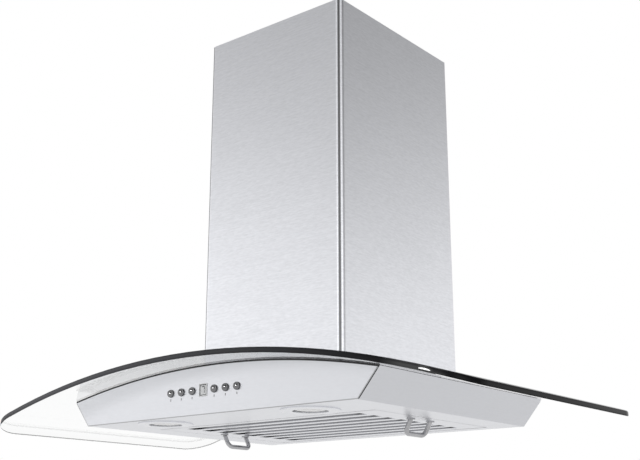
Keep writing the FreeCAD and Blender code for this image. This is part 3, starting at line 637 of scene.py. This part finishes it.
# %% Clear glass
facing_blend = 0.5
smear_scales = (9, 26, 9)
smear_edge = (0.45, 0.75)
pane_roughness = (0.002, 0.012)
pane_tint = (0.99, 0.993, 0.992, 1)
white = (1, 1, 1, 1)
mirror_least, mirror_gain, mirror_power = 0.03, 0.95, 4


def clear_pane(name):
    """Clear sheet with faint smears that dull its mirror."""
    material, wire = start_finish(name)
    facing = wire.node("LayerWeight", {}, {"Blend": facing_blend}, "Facing")
    smears = noise(wire, smear_scales, 3)
    clear = wire.node("BsdfTransparent", {}, {"Color": pane_tint})
    mirror = wire.node("BsdfGlossy", {}, {
        "Color": white, "Roughness": span(smears, *smear_edge, *pane_roughness)})
    share = mirror_least + mirror_gain * facing ** mirror_power
    return surface(material, wire.node("MixShader", {}, {0: share, 1: clear, 2: mirror}))


canopy_pane.data.materials.append(clear_pane("clear_canopy_glass"))
print("the pane is clear")

# %% [markdown]
# The rim is dark from outside and glossy at its right front corner, and shade is painted into its colour,
# darker towards the right end.
# From inside, through the pane, only a thin pale line of it is seen. Real glass does this with light
# that bounces inside it. Here the two sides of a face simply get two shaders.

# %% Rim of the glass
rim_greys = ((0.085, 0.086, 0.092), (0.006, 0.006, 0.007))
rim_pale_x, rim_dark_x = -0.3, 0.34
ripple_scales = (14, 14, 900)
glass_rim_shade_weight, ripple_weight, least_glass_rim_shade = 0.8, 0.15, 0.125
corner_x = (0.34, 0.37)
corner_y = (-0.476, -0.482)
rim_roughness = (0.06, 0.14)
rim_specular = 0.06
corner_coat_roughness = 0.04


def glass_rim(name, inside_level):
    """Polished rim: near black from outside, and as clear as the given level from inside."""
    material, wire = start_finish(name)
    x, y, _ = object_axes(wire)
    # Painted shade: the rim's colour darkens from left to right.
    painted_glass_rim_shade = span(x, rim_pale_x, rim_dark_x)
    ripple = noise(wire, ripple_scales, 2)
    share = span(painted_glass_rim_shade * glass_rim_shade_weight + ripple * ripple_weight + least_glass_rim_shade, 0, 1)
    polish = wire.node("BsdfPrincipled", {}, {
        "Base Color": tint(share, *rim_greys), "Specular IOR Level": rim_specular,
        "Roughness": span(ripple, *wide_noise, *rim_roughness),
        "Coat Weight": span(x, *corner_x) * span(y, *corner_y), "Coat Roughness": corner_coat_roughness})
    inside = wire.node("BsdfTransparent", {}, {"Color": (*even(inside_level), 1)})
    behind = wire.node("NewGeometry", {}, {}, "Backfacing")
    return surface(material, wire.node("MixShader", {}, {0: behind, 1: polish, 2: inside}))


canopy_pane.data.materials.append(glass_rim("polished_glass_rim", inside_level=0.96))
canopy_pane.data.materials.append(glass_rim("lower_rim_line", inside_level=0.2))
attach(canopy_pane, "hood")
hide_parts("glass_canopy")
print("the canopy has", len(canopy_pane.data.materials), "finishes")

# %% [markdown]
# ## The foam strip at the wall
# Behind the air way the glass is cut out up to the wall, which leaves a slot between the top sheet and
# the blower box. On such a hood a strip of foam closes it, so that no used air comes back out there.
# It follows the arch, so a bent bar would do. Spinning its section about the arch's axis gives the bend
# exactly, and the bevel operator rounds the edges as on cut foam.

# %% Foam strip
strip_half = 0.1116
strip_front = -0.011
strip_rear = -0.0014
strip_lap = 0.004
strip_seat = 0.0001
strip_round = 0.0008
strip_steps = 24

strip_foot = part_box("top_sheet")[1].z + strip_seat
strip_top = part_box("box_pad")[1].z + strip_lap
strip_turn = math.asin(strip_half / (strip_foot - arch_axis_z))
strip_axis = Vector((0, 1, 0))
arch_middle = Vector((0, 0, arch_axis_z))
strip_shape = bmesh.new()
section = [strip_shape.verts.new((0, y, z)) for y, z in (
    (strip_front, strip_foot), (strip_rear, strip_foot), (strip_rear, strip_top), (strip_front, strip_top))]
strip_face = strip_shape.faces.new(section)
bmesh.ops.rotate(strip_shape, verts=section, cent=arch_middle,
                 matrix=Matrix.Rotation(-strip_turn, 3, strip_axis))
bmesh.ops.spin(strip_shape, geom=[strip_face, *strip_face.edges, *section], cent=arch_middle,
               axis=strip_axis, angle=2 * strip_turn, steps=strip_steps, use_merge=False,
               use_duplicate=False)
bmesh.ops.recalc_face_normals(strip_shape, faces=strip_shape.faces)
long_edges = [edge for edge in strip_shape.edges
              if edge.is_manifold and edge.calc_face_angle() > sharp_angle]
bmesh.ops.bevel(strip_shape, geom=long_edges, offset=strip_round, offset_type="OFFSET", affect="EDGES",
                segments=2, profile=0.5, material=-1)
open_edges = sum(not edge.is_manifold for edge in strip_shape.edges)
rear_foam_strip = piece_from(strip_shape, "rear_foam_strip")
rear_foam_strip.data.materials.append(seal_rubber)
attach(rear_foam_strip, "hood")
print("foam strip:", len(rear_foam_strip.data.polygons), "faces,", open_edges, "open edges")

# %% [markdown]
# ## The lamps
# Each lamp is a flat steel ring round a frosted lens. The ring is turned on a lathe, so its scratches
# run in circles. The distance from the lamp's middle is a formula of the position, and one formula serves
# both lamps, because they stand at equal distances left and right: the sign of x is dropped first.

# %% Distance from a lamp
lens_low, lens_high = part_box("right_lamp_lens")
lamp_x = (lens_low.x + lens_high.x) / 2
lamp_y = (lens_low.y + lens_high.y) / 2
lens_radius = (lens_high.x - lens_low.x) / 2


def from_lamp(wire):
    """Steps to the right and to the rear from the middle of the nearer lamp."""
    x, y, _ = object_axes(wire)
    return abs(x) - lamp_x, y - lamp_y


def lamp_distance(wire):
    """Distance from the middle of the nearer lamp."""
    x, y = from_lamp(wire)
    return (x * x + y * y) ** 0.5


print("the lamps stand", round(lamp_x, 4), "m from the middle")

# %% Turned lamp rings
lathe_scale = 2600
ring_smear_scale = 60
lathe_weight, ring_smear_weight = 0.6, 0.4
lathe_strength = 0.08
lathe_depth = 0.0002
ring_roughness = (0.34, 0.24)


def turned_steel(name):
    """Steel ring with lathe marks in circles."""
    material, wire = start_finish(name)
    ring_place = wire.node("CombineXYZ", {}, {"X": lamp_distance(wire)})
    marks = wire.node("TexNoise", {}, {"Vector": ring_place, "Scale": lathe_scale, "Detail": 2})
    smear = noise(wire, even(ring_smear_scale), 2)
    share = span(marks * lathe_weight + smear * ring_smear_weight, *wide_noise)
    steel = wire.node("BsdfPrincipled", {}, {
        "Base Color": tint(share, *pan_greys_lit), "Metallic": 1,
        "Normal": dents(marks, lathe_strength, lathe_depth),
        "Roughness": span(share, 0, 1, *ring_roughness)})
    return surface(material, steel)


dress(turned_steel("turned_lamp_ring"), "left_lamp_bezel", "right_lamp_bezel")

# %% [markdown]
# The lens is pressed glass, frosted by sand blasting. The frost could be modelled as roughness alone,
# but then the groove at its edge would look white as well, where it lies in shade.
# So shade is painted into the groove by its distance from the middle, most of all at the two recesses of the
# snaps.

# %% Frosted lens
frost_scale = 900
frost_strength = 0.1
frost_depth = 0.0002
frost_roughness = (0.16, 0.26)
frost_white = (0.92, 0.925, 0.93)
painted_groove_shade = (0.04, 0.04, 0.045)
groove_inner = (0.0218, 0.0224)
groove_outer = (0.0252, 0.0246)
recess_reach = (0.01, 0.019)
recess_shade = (0.4, 1)


def frosted_lens(name):
    """Frosted white lens, with shade painted into the groove, most of all at the two snap recesses."""
    material, wire = start_finish(name)
    distance = lamp_distance(wire)
    sideways, _ = from_lamp(wire)
    recess = span(abs(sideways), *recess_reach, *recess_shade)
    # The groove's dark colour is painted shade.
    groove = span(distance, *groove_inner) * span(distance, *groove_outer) * recess
    frost = noise(wire, even(frost_scale), 2)
    lens = wire.node("BsdfPrincipled", {}, {
        "Base Color": tint(groove, frost_white, painted_groove_shade),
        "Normal": dents(frost, frost_strength, frost_depth),
        "Roughness": span(frost, *wide_noise, *frost_roughness)})
    return surface(material, lens)


lens_frost = frosted_lens("frosted_lamp_lens")
print("the lens finish is", lens_frost.name)

# %% [markdown]
# The lens has a low dome in the middle and a groove round it. A disc with a bevel would have neither.
# A lens is a turned shape, so half of its section is drawn and spun about the lamp's axis.

# %% Spin the lenses
dome_height = 0.0014
dome_steps = 6
groove_radius = 0.0222
groove_depth = 0.0012
groove_width = 0.0024
spin_steps = 72


def spun(name, section, middle):
    """Piece spun about an upright axis from a section given as distance and height."""
    shape = bmesh.new()
    corners = [shape.verts.new(middle + Vector((distance, 0, height))) for distance, height in section]
    sides = [shape.edges.new(pair) for pair in zip(corners, corners[1:])]
    bmesh.ops.spin(shape, geom=corners + sides, cent=middle, axis=(0, 0, 1), angle=2 * math.pi,
                   steps=spin_steps, use_merge=True, use_duplicate=False)
    bmesh.ops.remove_doubles(shape, verts=shape.verts, dist=merge_distance)
    bmesh.ops.recalc_face_normals(shape, faces=shape.faces)
    piece = piece_from(shape, name)
    piece.data.shade_smooth()
    return piece


def lens_section():
    """Half of a lens: domed face, groove, flat rim and back."""
    thickness = lens_high.z - lens_low.z
    groove_end = groove_radius + groove_width
    shares = [step / dome_steps for step in range(dome_steps + 1)]
    dome = [(groove_radius * share, -dome_height * (1 - share ** 2)) for share in shares]
    groove = [(groove_radius + groove_width / 4, groove_depth), (groove_end, groove_depth), (groove_end, 0)]
    return dome + groove + [(lens_radius, 0), (lens_radius, thickness), (0, thickness)]


for side, name in ((-1, "left"), (1, "right")):
    lens = spun(name + "_lens_glass", lens_section(), Vector((side * lamp_x, lamp_y, lens_low.z)))
    lens.data.materials.append(lens_frost)
    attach(lens, "hood")
    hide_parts(name + "_lamp_lens")
print("two lenses of", round(2000 * lens_radius, 1), "mm")

# %% [markdown]
# ## The display
# The display is a small window with one seven-segment digit, which shows the speed of the fan.
# The window is a clear grey plastic with a dark frame printed on its edges. The frame could be a piece
# of its own, but print has no thickness, so the window's finish draws it by the distance from the middle.

# %% Display window
window_low, window_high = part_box("display_window")
window_middle = (window_low + window_high) / 2
frame_line = 0.0012
frame_black = (0.05, 0.05, 0.052)
window_greys = ((0.72, 0.73, 0.74), (0.8, 0.81, 0.82))
window_roughness = (0.12, 0.26)
dust_scale = 700


def printed_frame(wire):
    """One along the edges of the window, and zero inside."""
    x, _, z = object_axes(wire)
    shares = []
    for place, middle, end in ((x, window_middle.x, window_high.x), (z, window_middle.z, window_high.z)):
        inner = end - middle - frame_line
        shares.append(span(abs(place - middle), inner, inner + frame_line / 4))
    return wire.math("MAXIMUM", *shares)


def display_glass(name):
    """Grey window with a printed frame and a faint sheen of dust."""
    material, wire = start_finish(name)
    dust = noise(wire, even(dust_scale), 2)
    grey = tint(span(dust, *usual_noise), *window_greys)
    window = wire.node("BsdfPrincipled", {}, {
        "Base Color": tint(printed_frame(wire), grey, frame_black),
        "Roughness": span(dust, *wide_noise, *window_roughness)})
    return surface(material, window)


dress(display_glass("display_glass"), "display_window")

# %% [markdown]
# Real segments are lit through a mask, so they look drawn on the window. Here each segment is a thin
# bevelled bar on the face of the window, which keeps the digit crisp from every side.

# %% Digit
digit_height = 0.0094
digit_width = 0.0052
segment_width = 0.0011
segment_proud = 0.0002


def segment_bar(shape, middle, size):
    """Add one bevelled bar to a mesh."""
    stretch = Matrix.Translation(middle) @ Matrix.Diagonal((*size, 1))
    made = bmesh.ops.create_cube(shape, size=1, matrix=stretch)
    edges = list({edge for vertex in made["verts"] for edge in vertex.link_edges})
    bmesh.ops.bevel(shape, geom=edges, offset=segment_proud / 3, offset_type="OFFSET", affect="EDGES",
                    segments=2, profile=0.5, material=-1)


def digit_bars():
    """Bars of the digit: two upright on the right and one level on top."""
    face_y = window_low.y - segment_proud / 2
    right = window_middle.x + digit_width / 2
    upright = (segment_width, segment_proud, digit_height / 2 - segment_width)
    level = (digit_width, segment_proud, segment_width)
    shape = bmesh.new()
    for rise in (-1, 1):
        segment_bar(shape, Vector((right, face_y, window_middle.z + rise * digit_height / 4)), upright)
    segment_bar(shape, Vector((window_middle.x, face_y, window_middle.z + digit_height / 2)), level)
    return shape


segment_black = grained("segment_black", dark=(0.01, 0.01, 0.011), light=(0.025, 0.025, 0.027),
                        roughness=0.3, grain_size=0.0005, grain_depth=0.00005)
display_digit = piece_from(digit_bars(), "display_digit")
display_digit.data.materials.append(segment_black)
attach(display_digit, "hood")
print("digit of three bars,", len(display_digit.data.polygons), "faces")

# %% [markdown]
# ## Marks under the buttons
# Below each button a small grey mark is printed on the steel. It could be painted by the panel's finish.
# As a thin bar it stays sharp close up, and the same bar as in the digit does the job.

# %% Button marks
mark_drop = 0.0098
mark_size = (0.0015, segment_proud, 0.0034)

mark_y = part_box("front_panel")[0].y - segment_proud / 2
marks_shape = bmesh.new()
for name in button_names:
    button_low, button_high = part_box(name)
    button_middle = (button_low + button_high) / 2
    segment_bar(marks_shape, Vector((button_middle.x, mark_y, button_middle.z - mark_drop)), mark_size)
mark_print = grained("mark_print", dark=(0.36, 0.36, 0.365), light=(0.44, 0.44, 0.445),
                     roughness=0.5, grain_size=0.0005, grain_depth=0.00005)
button_marks = piece_from(marks_shape, "button_marks")
button_marks.data.materials.append(mark_print)
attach(button_marks, "hood")
print("marks under six buttons,", len(button_marks.data.polygons), "faces")

# %% [markdown]
# ## Light
# A hood is mostly metal, and metal shows what stands round it. So the light is a room rather than lamps:
# the world is bright low down all round and falls off with height, which gives the tall chimney its slow
# change from light to grey. Above level height some sides of the room are brighter and some darker,
# as walls and windows are. They draw the white lines beside the bends and the darker steel between them.
# The view itself, and what is seen through glass, looks straight through to white. Is Glossy Ray is left
# out of that mask, because a metal that mirrored plain white all round would show none of this.

# %% World
height_stops = [(0, 0.9), (0.44, 0.92), (0.5, 0.88), (0.545, 1.3), (0.595, 1.26), (0.69, 0.58), (0.74, 0.43),
                (0.85, 0.46), (1, 0.9)]
# First and last angle in degrees, from the front towards the right, and how much brighter it is there.
zones = {"front": (-80, -41, 0.4), "front bend": (-20, 6, 1.1), "camera side": (8, 52, -0.58),
         "right bend": (58, 88, 1.0), "right rear": (92, 128, -0.65),
         "right side": (130, 162, -0.045), "left": (-165, -77, -0.62)}
zone_softness = 7
zone_foot = math.sin(math.radians(4))
zone_full = math.sin(math.radians(9))

world = bpy.data.worlds.new("studio")
scene.world = world
world.use_nodes = True
world.node_tree.nodes.clear()
sky = Wire(world.node_tree)
sky_x = sky.node("SeparateXYZ", {}, {"Vector": sky.node("TexCoord", {}, {}, "Generated")})
sky_y, sky_z = sky_x.out("Y"), sky_x.out("Z")
level = sky.node("ValToRGB", {"stops": height_stops}, {"Fac": sky_z * 0.5 + 0.5})
light = sky.node("RGBToBW", {}, {"Color": level})
sky_turn = sky.math("ARCTAN2", sky_x, 0 - sky_y) * math.degrees(1)
raised = span(sky_z, zone_foot, zone_full)
for first, last, gain in zones.values():
    inside = span(sky_turn, first, first + zone_softness) * span(sky_turn, last, last - zone_softness)
    light = light * (1 + gain * inside * raised)
path = sky.node("LightPath", {}, {}, "Is Camera Ray")
seen = sky.math("MAXIMUM", path, path.out("Is Transmission Ray"))
background = sky.node("Background", {}, {"Color": seen + (1 - seen) * light, "Strength": 1})
sky.node("OutputWorld", {}, {"Surface": background})
print("the world is white to the view, graded for light, with", len(zones), "zones")

# %% [markdown]
# ## Floor
# The hood hangs above a pale floor. A plain white sheet would do, but it would look grey in the view.
# So the floor glows white for the view and for reflections, and keeps a little of its own shading
# for the shadow. Seen from below it is clear, so that it hides nothing.

# %% Floor
floor_drop = 1.45
floor_half = 14
floor_greys = ((0.86, 0.86, 0.86), (0.9, 0.9, 0.9))
speck_scale = 3
glow_share = 0.9


def floor_finish(name):
    """Pale floor: white to the view and to reflections, with some of the shadow, and clear from below."""
    material, wire = start_finish(name)
    speck = noise(wire, even(speck_scale), 3)
    dull = wire.node("BsdfDiffuse", {}, {"Color": tint(speck, *floor_greys)})
    glow = wire.node("Emission", {}, {"Color": white, "Strength": 1})
    path = wire.node("LightPath", {}, {}, "Is Camera Ray")
    seen = wire.math("MAXIMUM", path, path.out("Is Glossy Ray"))
    pale = wire.node("MixShader", {}, {0: seen * glow_share, 1: dull, 2: glow})
    clear = wire.node("BsdfTransparent", {}, {"Color": white})
    below = wire.node("NewGeometry", {}, {}, "Backfacing")
    return surface(material, wire.node("MixShader", {}, {0: below, 1: pale, 2: clear}))


floor_shape = bmesh.new()
bmesh.ops.create_grid(floor_shape, x_segments=1, y_segments=1, size=floor_half,
                      matrix=Matrix.Translation((0, 0, -floor_drop)))
floor = piece_from(floor_shape, "floor")
floor.data.materials.append(floor_finish("pale_floor"))
print("floor", floor_drop, "m below the hood")

# %% [markdown]
# ## Softbox
# Small polished pieces look dull in an even room, so one softbox in front gives them a glint.
# On the brushed sheets it would draw a bright patch, so light linking lets it reach
# only the handles, the buttons and the glass.

# %% Softbox
softbox_turn = math.radians(4)
softbox_rise = math.radians(9)
softbox_far = 2.6
softbox_width = 1.0
softbox_height = 0.35
softbox_power = 24

glints = bpy.data.collections.new("pieces_with_glints")
glints.objects.link(canopy_pane)
for name in ("left_filter_handle", "right_filter_handle", *button_names):
    glints.objects.link(nodes[name])
softbox_data = bpy.data.lights.new("front_softbox", "AREA")
softbox_data.shape = "ELLIPSE"
softbox_data.size = softbox_width
softbox_data.size_y = softbox_height
softbox_data.energy = softbox_power
softbox = bpy.data.objects.new("front_softbox", softbox_data)
scene.collection.objects.link(softbox)
away = Vector((math.sin(softbox_turn) * math.cos(softbox_rise),
               -math.cos(softbox_turn) * math.cos(softbox_rise), math.sin(softbox_rise)))
softbox.location = away * softbox_far
softbox.rotation_euler = away.to_track_quat("Z", "Y").to_euler()
softbox.light_linking.receiver_collection = glints
